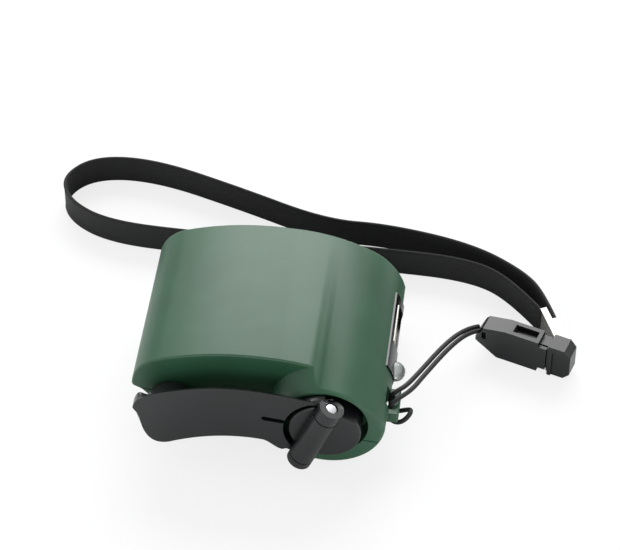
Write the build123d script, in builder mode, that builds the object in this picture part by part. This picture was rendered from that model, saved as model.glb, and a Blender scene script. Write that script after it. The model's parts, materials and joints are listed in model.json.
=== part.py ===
"""Hand crank phone charger: a two-shell housing, a folding crank, a three-stage gear
train, a small generator, a charging board with its socket and lamp, and a wrist lanyard.

Millimetres, +Z up, crank towards -Y. Places inside the charger are given from the hub:
x along the body, depth behind the crank face, z up from the hub's axis."""

import os
from math import acos, atan2, cos, degrees, pi, radians, sin, tan

from build123d import *

os.makedirs("parts", exist_ok=True)

# Housing
tail_length = 48.4
housing_depth = 45.0
hub_end_radius = 14.7
rest_level = -14.6
wall = 1.8
front_edge_radius = 0.5
back_edge_radius = 0.8
seam_width = 0.36
seam_at_hub = -4.05
seam_slope = -0.103

# Crank drum on the front of the housing
drum_radius = 14.4
drum_height = 5.2
drum_bore_radius = 10.3
drum_edge_radius = 1.0

# Crank
disk_radius = 8.8
disk_front = -8.0
disk_back = -0.8
disk_cut = 6.85
barrel_angle = 68.0
barrel_offset = 2.2
barrel_depth = -9.5
barrel_radius = 3.1
middle_knuckle = (-8.6, 6.7)
top_knuckle = (7.05, 12.0)
bottom_knuckle = (-12.0, -8.9)
pin_radius = 0.9
shaft_radius = 2.5
tail_shaft_radius = 1.5
running_gap = 0.05

# Arm and knob
arm_front = -8.2
arm_back = -5.5
arm_cut_radius = 10.1
knob_x = -38.0
knob_z = -0.5
knob_radius = 6.0
knob_front = -5.2
knob_back = -1.0

# Gear train
gear_module = 0.5
pressure_angle = radians(20)
drive_teeth = 34
wheel_teeth = 32
pinion_teeth = 10
wheel_addendum = 0.35
pinion_addendum = 0.45
dedendum = 0.6
tooth_share = 0.88
plate_thickness = 1.2
front_plate_depth = 2.1
rear_plate_depth = 12.1
axle_radius = 1.0

# Generator
can_radius = 10.0
can_height = 15.0
can_wall = 0.6
can_front = 13.5
can_back = 38.5
rotor_radius = 6.3

# Board, socket and lamp
board_top = -3.7
board_thickness = 1.6
board_low = board_top - board_thickness
socket_width = 13.1
socket_height = 5.7
socket_depth_centre = 28.0
socket_left = socket_depth_centre - socket_width / 2
socket_right = socket_depth_centre + socket_width / 2
socket_back = 1.0
socket_front = 15.0
socket_sheet = 0.3
lamp_depth = 16.2
lamp_z = -3.0
lamp_radius = 2.5
lamp_tip = 17.3
lamp_base = 9.2
lead_pitch = 2.54
lead_x = 5.4
lead_half = 0.25

# Lanyard
cord_radius = 0.6
ribbon_width = 8.4
ribbon_thickness = 0.9
buckle_thickness = 4.8
buckle_height = 10.2
buckle_lean = -18.0

# The frame: the middle of the charger's footprint, on the surface it rests on
hub_x = (tail_length - lamp_tip) / 2
face_y = -(housing_depth + barrel_depth - barrel_radius) / 2
hub_z = -rest_level


def place(x, depth, z):
    """Point given from the hub, in the frame."""
    return Vector(hub_x + x, face_y + depth, hub_z + z)


def front_plane(depth):
    """Plane facing the crank side; its own x is X and its own y is Z."""
    return Plane(origin=place(0, depth, 0), x_dir=(1, 0, 0), z_dir=(0, -1, 0))


def level_plane(z):
    """Level plane facing up; its own x is X and its own y is the depth."""
    return Plane(origin=place(0, 0, z), x_dir=(1, 0, 0), z_dir=(0, 0, 1))


def prism(outline, front, back, mode=Mode.ADD):
    """Extrude an outline drawn as seen from the crank side between two depths."""
    with BuildSketch(front_plane(back)) as section:
        add(outline)
    extrude(section.sketch, amount=back - front, mode=mode)


def rod(x, z, radius, front, back, mode=Mode.ADD):
    """Round bar or hole parallel to the crank's axis."""
    with BuildSketch(front_plane(back)) as section:
        with Locations((x, z)):
            Circle(radius)
    extrude(section.sketch, amount=back - front, mode=mode)


def post(x, depth, radius, low, high, mode=Mode.ADD):
    """Upright round bar or hole."""
    with BuildSketch(level_plane(low)) as section:
        with Locations((x, depth)):
            Circle(radius)
    extrude(section.sketch, amount=high - low, mode=mode)


def block(x_range, depth_range, z_range, mode=Mode.ADD):
    """Box between limits given from the hub."""
    low = place(x_range[0], depth_range[0], z_range[0])
    high = place(x_range[1], depth_range[1], z_range[1])
    size = high - low
    with Locations((low + high) / 2):
        Box(size.X, size.Y, size.Z, mode=mode)


def finish(piece, name):
    """Name a piece and write its file."""
    piece.label = name
    export_step(piece, f"parts/{name}.step")


# ---------------------------------------------------------------- housing outline

hub_end_rise = hub_end_radius + rest_level
crown_end = Vector(
    hub_end_radius * cos(radians(-8)), hub_end_rise + hub_end_radius * sin(radians(-8))
)
hub_end_middle = Vector(
    hub_end_radius * cos(radians(-45)), hub_end_rise + hub_end_radius * sin(radians(-45))
)
crown_points = [
    (-tail_length, 1.5),
    (-46.2, 8.2),
    (-40.7, 12.0),
    (-29.0, 14.9),
    (-14.0, 15.45),
    (-1.5, 13.25),
    (7.5, 9.0),
    (12.4, 3.6),
    crown_end,
]
belly_front = (-4.0, rest_level)
belly_middle = (-17.0, -12.3)
belly_back = (-30.0, rest_level)
foot_corner = (-33.5, rest_level)
slope_corner = (-46.0, 0.2)


def housing_outline(inset=0.0):
    """Side of the housing, drawn in by inset (or out, if it is negative)."""
    with BuildSketch() as outline:
        with BuildLine():
            for start in range(0, len(crown_points) - 1, 2):
                ThreePointArc(*crown_points[start : start + 3])
            ThreePointArc(crown_end, hub_end_middle, (0.0, rest_level))
            Line((0.0, rest_level), belly_front)
            ThreePointArc(belly_front, belly_middle, belly_back)
            Polyline(belly_back, foot_corner, slope_corner, crown_points[0])
        make_face()
        if inset:
            offset(amount=-inset)
        else:
            for corner, radius in (
                (belly_front, 4.0),
                (belly_back, 2.0),
                (foot_corner, 2.0),
                (slope_corner, 2.0),
                (crown_points[0], 1.2),
            ):
                corners = outline.vertices()
                fillet(corners.sort_by_distance((*corner, 0))[0], radius)
    return outline.sketch


outer_outline = housing_outline()
inner_outline = housing_outline(wall)
groove_outline = housing_outline(seam_width / 2)
root_outline = housing_outline(1.0)


def clipped(outline, x_range, z_range):
    """The part of an outline inside a rectangle."""
    with BuildSketch() as part:
        add(outline)
        with Locations(
            ((x_range[0] + x_range[1]) / 2, (z_range[0] + z_range[1]) / 2)
        ):
            Rectangle(
                x_range[1] - x_range[0], z_range[1] - z_range[0], mode=Mode.INTERSECT
            )
    return part.sketch


def drum_outline(radius, outline):
    """The drum: a circle round the hub, cut off where the housing ends."""
    with BuildSketch() as part:
        Circle(radius)
        add(outline, mode=Mode.INTERSECT)
    return part.sketch


# ---------------------------------------------------------------- generator and gears' places

second_x, second_z = 11.0 * cos(radians(165)), 11.0 * sin(radians(165))
stage_distance = gear_module * (wheel_teeth + pinion_teeth) / 2
third_x = second_x + stage_distance * cos(radians(195))
third_z = second_z + stage_distance * sin(radians(195))
rotor_x = third_x + stage_distance * cos(radians(160))
rotor_z = third_z + stage_distance * sin(radians(160))
pillar_places = [(7.9, -7.9), (-10.6, -7.9), (-17.3, 11.3), (-28.5, -8.0)]
screw_places = [(-17.0, 19.5), (-17.0, 33.0), (7.6, 40.9)]
screw_seat = -9.0


# ---------------------------------------------------------------- housing

with BuildPart() as shell_insides:
    for x, depth in screw_places:
        post(x, depth, 2.2, -14.0, 15.0)
    for depth in (20.0, 33.0):
        block((-36.5, -24.8), (depth, depth + 1.4), (-14.0, 15.0))
    prism(root_outline, 1.0, housing_depth - 1.0, mode=Mode.INTERSECT)
    block(
        (-37.5, -23.8),
        (18.0, 36.0),
        (rotor_z - can_height / 2 - 0.1, rotor_z + can_height / 2 + 0.1),
        mode=Mode.SUBTRACT,
    )

with BuildPart() as seam_groove:
    with BuildSketch(front_plane(housing_depth + 2.0)):
        with Locations(Location((0, seam_at_hub), degrees(atan2(seam_slope, 1)))):
            Rectangle(140.0, seam_width)
    extrude(amount=housing_depth + 2.0 + drum_height + 2.0)
    groove_floor = seam_width / 2
    prism(groove_outline, groove_floor, housing_depth - groove_floor, mode=Mode.SUBTRACT)
    prism(
        drum_outline(drum_radius - groove_floor, groove_outline),
        groove_floor - drum_height,
        seam_width,
        mode=Mode.SUBTRACT,
    )

with BuildPart() as whole_shell:
    prism(outer_outline, 0.0, housing_depth)
    fillet(whole_shell.faces().sort_by(Axis.Y)[-1].edges(), back_edge_radius)
    fillet(whole_shell.faces().sort_by(Axis.Y)[0].edges(), front_edge_radius)
    prism(drum_outline(drum_radius, outer_outline), -drum_height, 1.0)
    fillet(whole_shell.faces().sort_by(Axis.Y)[0].edges(), drum_edge_radius)
    rod(0, 0, drum_bore_radius, -drum_height - 1.0, 0.0, mode=Mode.SUBTRACT)
    prism(inner_outline, wall, housing_depth - wall, mode=Mode.SUBTRACT)
    add(shell_insides.part)
    rod(0, 0, 4.35, -1.0, wall + 1.0, mode=Mode.SUBTRACT)
    block((8.0, 20.0), (12.5, 37.5), (-8.2, 3.2), mode=Mode.SUBTRACT)
    add(seam_groove.part, mode=Mode.SUBTRACT)

seam_plane = Plane(
    origin=place(0, 0, seam_at_hub), x_dir=(1, 0, seam_slope), z_dir=(-seam_slope, 0, 1)
)

with BuildPart() as upper_shell:
    add(whole_shell.part)
    split(bisect_by=seam_plane, keep=Keep.TOP)
    for x, depth in screw_places:
        post(x, depth, 1.0, -14.0, 6.0 if x < 0 else 4.0, mode=Mode.SUBTRACT)
    block((13.2, 17.0), (1.3, 9.3), (-4.9, -1.7))
    bar_edges = upper_shell.faces().sort_by(Axis.X)[-1].edges()
    fillet(bar_edges, 0.5)
    block((13.6, 15.5), (2.7, 7.9), (-7.0, 1.4), mode=Mode.SUBTRACT)

with BuildPart() as lower_shell:
    add(whole_shell.part)
    split(bisect_by=seam_plane, keep=Keep.BOTTOM)
    for x, depth in screw_places:
        post(x, depth, 1.15, -16.0, 0.0, mode=Mode.SUBTRACT)
        post(x, depth, 2.0, -16.0, screw_seat, mode=Mode.SUBTRACT)

finish(upper_shell.part, "upper_shell")
finish(lower_shell.part, "lower_shell")

with BuildPart() as housing_screws:
    for x, depth in screw_places:
        post(x, depth, 1.85, screw_seat - 1.4, screw_seat)
        post(x, depth, 1.0, screw_seat, 5.8 if x < 0 else 3.8)
        for half_x, half_depth in ((1.2, 0.25), (0.25, 1.2)):
            block(
                (x - half_x, x + half_x),
                (depth - half_depth, depth + half_depth),
                (screw_seat - 2.0, screw_seat - 0.8),
                mode=Mode.SUBTRACT,
            )
finish(housing_screws.part, "housing_screws")

with BuildPart() as end_panel:
    prism(clipped(housing_outline(-0.35), (8.0, 20.0), (-8.1, 3.1)), 12.6, 37.4)
    prism(housing_outline(wall + 0.1), 10.0, 40.0, mode=Mode.SUBTRACT)
    with BuildSketch() as flange_face:
        add(clipped(housing_outline(wall + 0.05), (7.0, 20.0), (-9.0, 4.0)))
        add(housing_outline(wall + 0.8), mode=Mode.SUBTRACT)
    prism(flange_face.sketch, 14.6, 38.3)
    block((8.0, 12.0), (14.0, 38.1), (board_low, board_top), mode=Mode.SUBTRACT)
    block(
        (0.0, 20.0),
        (socket_left - 0.1, socket_right + 0.1),
        (board_top - 0.1, board_top + socket_height + 0.1),
        mode=Mode.SUBTRACT,
    )
    with BuildSketch(Plane(origin=place(5.0, lamp_depth, lamp_z), z_dir=(1, 0, 0))):
        Circle(lamp_radius + 0.1)
    extrude(amount=15.0, mode=Mode.SUBTRACT)
finish(end_panel.part, "end_panel")


# ---------------------------------------------------------------- board, socket and lamp

with BuildPart() as circuit_board:
    block((-13.0, 11.5), (14.2, 38.0), (board_low, board_top))
    for x_range, depth_range in (((8.8, 12.0), (13.0, 19.3)), ((4.5, 12.0), (36.0, 39.0))):
        block(x_range, depth_range, (board_low - 1, board_top + 1), mode=Mode.SUBTRACT)
    for side in (-1, 1):
        depth = lamp_depth + lead_pitch / 2 * side
        post(lead_x, depth, 0.35, board_low - 1, board_top + 1, mode=Mode.SUBTRACT)
finish(circuit_board.part, "circuit_board")

with BuildPart() as usb_socket:
    block(
        (socket_back, socket_front),
        (socket_left, socket_right),
        (board_top, board_top + socket_height),
    )
    fillet(usb_socket.edges().filter_by(Axis.X), 0.5)
    block(
        (socket_back + socket_sheet, socket_front + 1),
        (socket_left + socket_sheet, socket_right - socket_sheet),
        (board_top + socket_sheet, board_top + socket_height - socket_sheet),
        mode=Mode.SUBTRACT,
    )
    for depth in (socket_left + 3.0, socket_right - 4.4):
        block(
            (7.5, 9.3),
            (depth, depth + 1.4),
            (board_top + 5.0, board_top + 6.0),
            mode=Mode.SUBTRACT,
        )
finish(usb_socket.part, "usb_socket")

tongue_low = board_top + socket_height / 2 - 0.2
tongue_high = tongue_low + 1.9
tongue_root = socket_back + 3.4
contact_places = [socket_depth_centre + pitch for pitch in (-3.5, -1.0, 1.0, 3.5)]

with BuildPart() as usb_tongue:
    block(
        (socket_back + socket_sheet, tongue_root),
        (socket_left + socket_sheet, socket_right - socket_sheet),
        (board_top + socket_sheet, board_top + socket_height - socket_sheet),
    )
    block(
        (tongue_root, socket_front - 1.2),
        (socket_depth_centre - 5.5, socket_depth_centre + 5.5),
        (tongue_low, tongue_high),
    )
    chamfer(usb_tongue.faces().sort_by(Axis.X)[-1].edges().filter_by(Axis.Y), 0.4)
    for depth in contact_places:
        block(
            (tongue_root, socket_front - 2.2),
            (depth - 0.5, depth + 0.5),
            (tongue_low - 1.0, tongue_low + 0.25),
            mode=Mode.SUBTRACT,
        )
finish(usb_tongue.part, "usb_tongue")

with BuildPart() as usb_contacts:
    for depth in contact_places:
        block(
            (tongue_root, socket_front - 2.2),
            (depth - 0.5, depth + 0.5),
            (tongue_low, tongue_low + 0.25),
        )
finish(usb_contacts.part, "usb_contacts")

with BuildPart() as led:
    with BuildSketch(Plane(origin=place(lamp_base, lamp_depth, lamp_z), z_dir=(1, 0, 0))):
        Circle(lamp_radius + 0.4)
    extrude(amount=1.0)
    with BuildSketch(Plane(origin=place(lamp_base, lamp_depth, lamp_z), z_dir=(1, 0, 0))):
        Circle(lamp_radius)
    extrude(amount=lamp_tip - lamp_radius - lamp_base)
    with Locations(place(lamp_tip - lamp_radius, lamp_depth, lamp_z)):
        Sphere(lamp_radius)
finish(led.part, "led")

with BuildPart() as led_leads:
    for side in (-1, 1):
        depth = lamp_depth + lead_pitch / 2 * side
        lead_depth = (depth - lead_half, depth + lead_half)
        block((lead_x - lead_half, lamp_base), lead_depth, (lamp_z - lead_half, lamp_z + lead_half))
        block((lead_x - lead_half, lead_x + lead_half), lead_depth, (board_low - 0.8, lamp_z))
finish(led_leads.part, "led_leads")

with BuildPart() as capacitor:
    post(-8.2, 32.6, 3.1, board_top, board_top + 7.4)
    fillet(capacitor.faces().sort_by(Axis.Z)[-1].edges(), 0.4)
finish(capacitor.part, "capacitor")

with BuildPart() as inductor:
    block((-9.0, -3.0), (21.6, 27.6), (board_top, board_top + 2.8))
    chamfer(inductor.edges().filter_by(Axis.Z), 1.2)
finish(inductor.part, "inductor")

with BuildPart() as regulator_chip:
    block((-3.4, 1.6), (16.0, 20.0), (board_top + 0.2, board_top + 1.6))
    for step in range(4):
        start = -2.7 + 1.2 * step
        block((start, start + 0.5), (15.2, 20.8), (board_top, board_top + 0.25))
finish(regulator_chip.part, "regulator_chip")

with BuildPart() as rectifier_diodes:
    for row in range(2):
        for column in range(2):
            start = -12.0 + 3.6 * column
            depth = 15.6 + 2.6 * row
            block((start, start + 2.7), (depth, depth + 1.6), (board_top, board_top + 1.1))
finish(rectifier_diodes.part, "rectifier_diodes")


# ---------------------------------------------------------------- gears

def gear_outline(teeth, addendum, bore, turn):
    """Spur gear outline; one tooth points turn degrees from +X."""
    pitch_radius = gear_module * teeth / 2
    base_radius = pitch_radius * cos(pressure_angle)
    root_radius = pitch_radius - dedendum
    tip_radius = pitch_radius + addendum
    roll = tan(pressure_angle) - pressure_angle

    def half_angle(radius):
        lean = acos(min(1.0, base_radius / radius))
        return pi / (2 * teeth) * tooth_share + roll - (tan(lean) - lean)

    heights = (root_radius, max(base_radius, pitch_radius - 0.3), pitch_radius, tip_radius)
    points = []
    for tooth in range(teeth):
        centre = radians(turn) + 2 * pi * tooth / teeth
        left = [(radius, centre - half_angle(radius)) for radius in heights]
        right = [(radius, centre + half_angle(radius)) for radius in reversed(heights)]
        points += [(r * cos(a), r * sin(a)) for r, a in left + right]
    with BuildSketch() as outline:
        with BuildLine():
            Polyline(*points, close=True)
        make_face()
        Circle(bore, mode=Mode.SUBTRACT)
    return outline.sketch


def moved(outline, x, z):
    """An outline carried to an axle's place."""
    with BuildSketch() as part:
        with Locations((x, z)):
            add(outline)
    return part.sketch


def mesh_turn(turn_a, teeth_a, teeth_b, way):
    """Where gear B's tooth points, to mesh with gear A; way is the direction from A to B."""
    return way + 180 - (turn_a - way) * teeth_a / teeth_b + 180 / teeth_b


drive_turn = 0.0
second_turn = mesh_turn(drive_turn, drive_teeth, pinion_teeth, 165)
third_turn = mesh_turn(second_turn, wheel_teeth, pinion_teeth, 195)
rotor_turn = mesh_turn(third_turn, wheel_teeth, pinion_teeth, 160)

with BuildPart() as drive_gear:
    prism(gear_outline(drive_teeth, wheel_addendum, shaft_radius, drive_turn), 3.8, 6.3)
    block((1.95, 2.6), (3.8, 6.3), (-1.5, 1.5))
finish(drive_gear.part, "drive_gear")

axle_bore = axle_radius + running_gap
second_pinion = gear_outline(pinion_teeth, pinion_addendum, axle_bore, second_turn)
second_wheel = gear_outline(wheel_teeth, wheel_addendum, axle_bore, second_turn)
third_pinion = gear_outline(pinion_teeth, pinion_addendum, axle_bore, third_turn)
third_wheel = gear_outline(wheel_teeth, wheel_addendum, axle_bore, third_turn)
pressed_pinion = gear_outline(pinion_teeth, pinion_addendum, axle_radius, rotor_turn)

with BuildPart() as second_gear:
    prism(moved(second_pinion, second_x, second_z), 3.7, 6.9)
    prism(moved(second_wheel, second_x, second_z), 6.9, 8.9)
finish(second_gear.part, "second_gear")

with BuildPart() as third_gear:
    prism(moved(third_pinion, third_x, third_z), 6.7, 9.5)
    prism(moved(third_wheel, third_x, third_z), 9.5, 11.3)
    rod(third_x, third_z, 1.9, 3.6, 6.7)
    rod(third_x, third_z, axle_bore, 3.0, 7.0, mode=Mode.SUBTRACT)
finish(third_gear.part, "third_gear")

with BuildPart() as rotor_pinion:
    prism(moved(pressed_pinion, rotor_x, rotor_z), 9.4, 11.5)
finish(rotor_pinion.part, "rotor_pinion")

with BuildPart() as second_axle:
    rod(second_x, second_z, axle_radius, 2.1, 13.3)
finish(second_axle.part, "second_axle")

with BuildPart() as third_axle:
    rod(third_x, third_z, axle_radius, 2.1, 13.3)
finish(third_axle.part, "third_axle")

plate_outline = clipped(housing_outline(wall + 0.3), (-36.0, 10.4), (-12.4, 20.0))
front_plate_back = front_plate_depth + plate_thickness
rear_plate_back = rear_plate_depth + plate_thickness

with BuildPart() as front_gear_plate:
    prism(plate_outline, front_plate_depth, front_plate_back)
    rod(0, 0, 4.2, 1.0, 5.0, mode=Mode.SUBTRACT)
    for x, z in ((second_x, second_z), (third_x, third_z)):
        rod(x, z, axle_radius, 1.0, 5.0, mode=Mode.SUBTRACT)
    for x, z in pillar_places:
        rod(x, z, 0.8, 1.0, 5.0, mode=Mode.SUBTRACT)
finish(front_gear_plate.part, "front_gear_plate")

with BuildPart() as rear_gear_plate:
    prism(plate_outline, rear_plate_depth, rear_plate_back)
    rod(0, 0, tail_shaft_radius + running_gap, 11.0, 15.0, mode=Mode.SUBTRACT)
    rod(rotor_x, rotor_z, 3.1, 11.0, 15.0, mode=Mode.SUBTRACT)
    for x, z in ((second_x, second_z), (third_x, third_z)):
        rod(x, z, axle_radius, 11.0, 15.0, mode=Mode.SUBTRACT)
    for x, z in pillar_places:
        rod(x, z, 0.8, 11.0, 15.0, mode=Mode.SUBTRACT)
finish(rear_gear_plate.part, "rear_gear_plate")

with BuildPart() as plate_pillars:
    for x, z in pillar_places:
        rod(x, z, 1.4, front_plate_back, rear_plate_depth)
        rod(x, z, 0.8, 1.0, 15.0, mode=Mode.SUBTRACT)
finish(plate_pillars.part, "plate_pillars")

with BuildPart() as plate_screws:
    for x, z in pillar_places:
        rod(x, z, 0.8, front_plate_depth + 0.1, rear_plate_back)
        rod(x, z, 1.5, rear_plate_back, rear_plate_back + 1.0)
finish(plate_screws.part, "plate_screws")

with BuildPart() as hub_bush:
    rod(0, 0, 4.2, 0.3, 3.3)
    rod(0, 0, shaft_radius + running_gap, 0.0, 4.0, mode=Mode.SUBTRACT)
finish(hub_bush.part, "hub_bush")


# ---------------------------------------------------------------- generator

with BuildSketch() as can_face:
    Circle(can_radius)
    Rectangle(2 * can_radius, can_height, mode=Mode.INTERSECT)
with BuildSketch() as can_bore:
    Circle(can_radius - can_wall)
    Rectangle(2 * can_radius, can_height - 2 * can_wall, mode=Mode.INTERSECT)
can_outline = moved(can_face.sketch, rotor_x, rotor_z)
can_inside = moved(can_bore.sketch, rotor_x, rotor_z)

with BuildPart() as generator_can:
    prism(can_outline, can_front, can_back)
    rod(rotor_x, rotor_z, 3.05, rear_plate_depth + 0.1, can_front)
    prism(can_inside, can_front + can_wall, can_back + 1, mode=Mode.SUBTRACT)
    rod(rotor_x, rotor_z, 1.05, 10.0, 16.0, mode=Mode.SUBTRACT)
finish(generator_can.part, "generator_can")

with BuildPart() as field_magnets:
    with BuildSketch() as magnet_face:
        Circle(can_radius - can_wall)
        Circle(6.8, mode=Mode.SUBTRACT)
        Rectangle(2 * can_radius, 12.4, mode=Mode.INTERSECT)
        Rectangle(8.0, 2 * can_radius, mode=Mode.SUBTRACT)
    prism(moved(magnet_face.sketch, rotor_x, rotor_z), 17.0, 33.0)
finish(field_magnets.part, "field_magnets")

with BuildPart() as armature_core:
    with BuildSketch() as core_face:
        Circle(rotor_radius)
        Circle(5.2, mode=Mode.SUBTRACT)
        with PolarLocations(0, 3, start_angle=60):
            with Locations((5.8, 0)):
                Rectangle(4.0, 2.4, mode=Mode.SUBTRACT)
        with PolarLocations(0, 3):
            with Locations((3.0, 0)):
                Rectangle(5.0, 2.2)
        Circle(2.4)
        Circle(1.0, mode=Mode.SUBTRACT)
    prism(moved(core_face.sketch, rotor_x, rotor_z), 18.0, 32.0)
finish(armature_core.part, "armature_core")

with BuildPart() as armature_coils:
    with BuildSketch() as coil_face:
        with PolarLocations(0, 3):
            with Locations((3.75, 0)):
                Rectangle(2.0, 4.0)
    with BuildSketch() as coil_slot:
        with PolarLocations(0, 3):
            with Locations((3.85, 0)):
                Rectangle(2.6, 2.2)
    prism(moved(coil_face.sketch, rotor_x, rotor_z), 16.8, 33.2)
    prism(moved(coil_slot.sketch, rotor_x, rotor_z), 18.0, 32.0, mode=Mode.SUBTRACT)
    fillet(armature_coils.faces().sort_by(Axis.Y)[-1].edges(), 0.4)
finish(armature_coils.part, "armature_coils")

with BuildPart() as rotor_shaft:
    rod(rotor_x, rotor_z, 1.0, 8.8, 39.4)
finish(rotor_shaft.part, "rotor_shaft")

with BuildPart() as commutator:
    with BuildSketch() as segment_face:
        Circle(2.1)
        with PolarLocations(0, 3):
            with Locations((1.7, 0)):
                Rectangle(1.2, 0.25, mode=Mode.SUBTRACT)
        Circle(1.0, mode=Mode.SUBTRACT)
    prism(moved(segment_face.sketch, rotor_x, rotor_z), 33.4, 36.2)
finish(commutator.part, "commutator")

with BuildPart() as brush_cap:
    prism(can_inside, 36.9, can_back)
    rod(rotor_x, rotor_z, 2.9, can_back, can_back + 1.2)
    rod(rotor_x, rotor_z, 1.05, 36.0, 41.0, mode=Mode.SUBTRACT)
    for side in (-1, 1):
        block(
            (rotor_x + 5.0 * side - 1.2, rotor_x + 5.0 * side + 1.2),
            (36.0, 40.0),
            (rotor_z - 0.3, rotor_z + 0.3),
            mode=Mode.SUBTRACT,
        )
finish(brush_cap.part, "brush_cap")

with BuildPart() as brush_terminals:
    for side in (-1, 1):
        start, end = sorted((rotor_x + 3.8 * side, rotor_x + 6.2 * side))
        block((start, end), (34.2, 41.2), (rotor_z - 0.3, rotor_z + 0.3))
        start, end = sorted((rotor_x + 2.2 * side, rotor_x + 3.8 * side))
        block((start, end), (34.2, 35.6), (rotor_z - 0.3, rotor_z + 0.3))
finish(brush_terminals.part, "brush_terminals")

with BuildPart() as generator_leads:
    for side in (0, 1):
        pad_depth = 36.4 - 2.6 * side
        lead_start = rotor_x + (6.2 if side else -3.8)
        with BuildLine() as lead_path:
            FilletPolyline(
                place(lead_start - 1.0, 40.8 - 0.2, rotor_z + 0.8),
                place(lead_start + 1.5, 41.4, rotor_z + 1.2 + 1.4 * (1 - side)),
                place(-19.5, 41.2, rotor_z + 1.6 * (1 - side)),
                place(-13.4, 39.6, 0.5 + 1.4 * (1 - side)),
                place(-12.0 + 0.4 * side, pad_depth, board_top + 1.4),
                place(-12.0 + 0.4 * side, pad_depth, board_top),
                radius=0.7,
            )
        with BuildSketch(Plane(lead_path.line @ 0, z_dir=lead_path.line % 0)):
            Circle(0.45)
        sweep(path=lead_path.line)
finish(generator_leads.part, "generator_leads")


# ---------------------------------------------------------------- crank

along = Vector(cos(radians(barrel_angle)), 0, sin(radians(barrel_angle)))
across = Vector(sin(radians(barrel_angle)), 0, -cos(radians(barrel_angle)))
barrel_foot = place(0, barrel_depth, 0) - across * barrel_offset


def barrel_plane(t):
    """Plane square to the hinge barrel, t along it; its own x points away from the arm."""
    return Plane(origin=barrel_foot + along * t, x_dir=across, z_dir=along)


def barrel_rod(radius, t_range, mode=Mode.ADD):
    """Round bar or hole on the hinge's axis."""
    with BuildSketch(barrel_plane(t_range[0])) as section:
        Circle(radius)
    extrude(section.sketch, amount=t_range[1] - t_range[0], mode=mode)


with BuildPart() as crank_hub:
    with BuildSketch() as disk_face:
        Circle(disk_radius)
        with Locations(Location((disk_cut * along.X, disk_cut * along.Z), barrel_angle)):
            Rectangle(20.0, 40.0, align=(Align.MIN, Align.CENTER), mode=Mode.SUBTRACT)
    prism(disk_face.sketch, disk_front, disk_back)
    fillet(crank_hub.faces().sort_by(Axis.Y)[0].edges(), 0.5)
    barrel_rod(barrel_radius, middle_knuckle)
    with BuildSketch(barrel_plane(middle_knuckle[0] + 0.6)) as saddle:
        with Locations((0, 1.0)):
            Rectangle(2 * barrel_radius, 3.4)
    extrude(saddle.sketch, amount=middle_knuckle[1] - middle_knuckle[0] - 0.6)
    barrel_rod(pin_radius + running_gap, (-14.0, 14.0), mode=Mode.SUBTRACT)
    rod(0, 0, shaft_radius, disk_back, 6.5)
    block((1.9, 3.0), (3.75, 7.0), (-3.0, 3.0), mode=Mode.SUBTRACT)
    rod(0, 0, tail_shaft_radius, 6.5, 13.4)
    rod(0, 0, 0.6, 9.0, 14.0, mode=Mode.SUBTRACT)
finish(crank_hub.part, "crank_hub")

with BuildPart() as shaft_screw:
    rod(0, 0, 0.6, 9.4, 13.4)
    rod(0, 0, 2.2, 13.4, 14.4)
    block((-1.4, 1.4), (14.0, 15.0), (-0.25, 0.25), mode=Mode.SUBTRACT)
    block((-0.25, 0.25), (14.0, 15.0), (-1.4, 1.4), mode=Mode.SUBTRACT)
finish(shaft_screw.part, "shaft_screw")

top_end = (barrel_foot + along * 11.6) - place(0, 0, 0)
top_root = (barrel_foot + along * 7.05) - place(0, 0, 0)
bottom_end = (barrel_foot + along * -11.6) - place(0, 0, 0)
bottom_root = (barrel_foot + along * -8.9) - place(0, 0, 0)

with BuildPart() as crank_arm:
    with BuildSketch() as arm_face:
        with BuildLine():
            Spline(
                (-47.6, 2.8),
                (-44.9, 6.1),
                (-37.4, 9.7),
                (-25.3, 12.4),
                (-13.2, 12.1),
                (-6.0, 10.9),
            )
            Polyline(
                (-6.0, 10.9),
                (top_end.X, top_end.Z),
                (top_root.X, top_root.Z),
                (bottom_root.X, bottom_root.Z),
                (bottom_end.X, bottom_end.Z),
                (-8.5, -8.5),
            )
            Spline((-8.5, -8.5), (-12.1, -7.0), (-18.0, -6.1), (-28.2, -7.0), (-38.2, -10.5))
            Spline((-38.2, -10.5), (-42.3, -10.3), (-45.4, -5.9), (-47.6, 2.8))
        make_face()
        Circle(arm_cut_radius, mode=Mode.SUBTRACT)
        with Locations(Location((-10.5, 2.6), 172)):
            SlotCenterPoint((2.0, 0), (4.2, 0), 1.3, mode=Mode.SUBTRACT)
    prism(arm_face.sketch, arm_front, arm_back)
    barrel_rod(barrel_radius, top_knuckle)
    barrel_rod(barrel_radius, bottom_knuckle)
    rod(knob_x, knob_z, 2.5, arm_back, -2.1)
    barrel_rod(pin_radius, (-11.2, 14.0), mode=Mode.SUBTRACT)
    barrel_rod(1.6, (11.2, 14.0), mode=Mode.SUBTRACT)
    rod(knob_x, knob_z, 1.1, -7.4, 0.0, mode=Mode.SUBTRACT)
finish(crank_arm.part, "crank_arm")

with BuildPart() as hinge_pin:
    barrel_rod(pin_radius, (-11.2, 11.2))
    barrel_rod(1.4, (11.2, 11.75))
    fillet(hinge_pin.faces().sort_by(Axis(barrel_foot, along))[-1].edges(), 0.25)
finish(hinge_pin.part, "hinge_pin")

with BuildPart() as knob:
    rod(knob_x, knob_z, knob_radius, knob_front, knob_back)
    fillet(knob.edges().filter_by(GeomType.CIRCLE), 0.6)
    rod(knob_x, knob_z, 2.5 + running_gap, -6.0, 0.0, mode=Mode.SUBTRACT)
    rod(knob_x, knob_z, 3.3, -2.2, 0.0, mode=Mode.SUBTRACT)
finish(knob.part, "knob")

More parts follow.
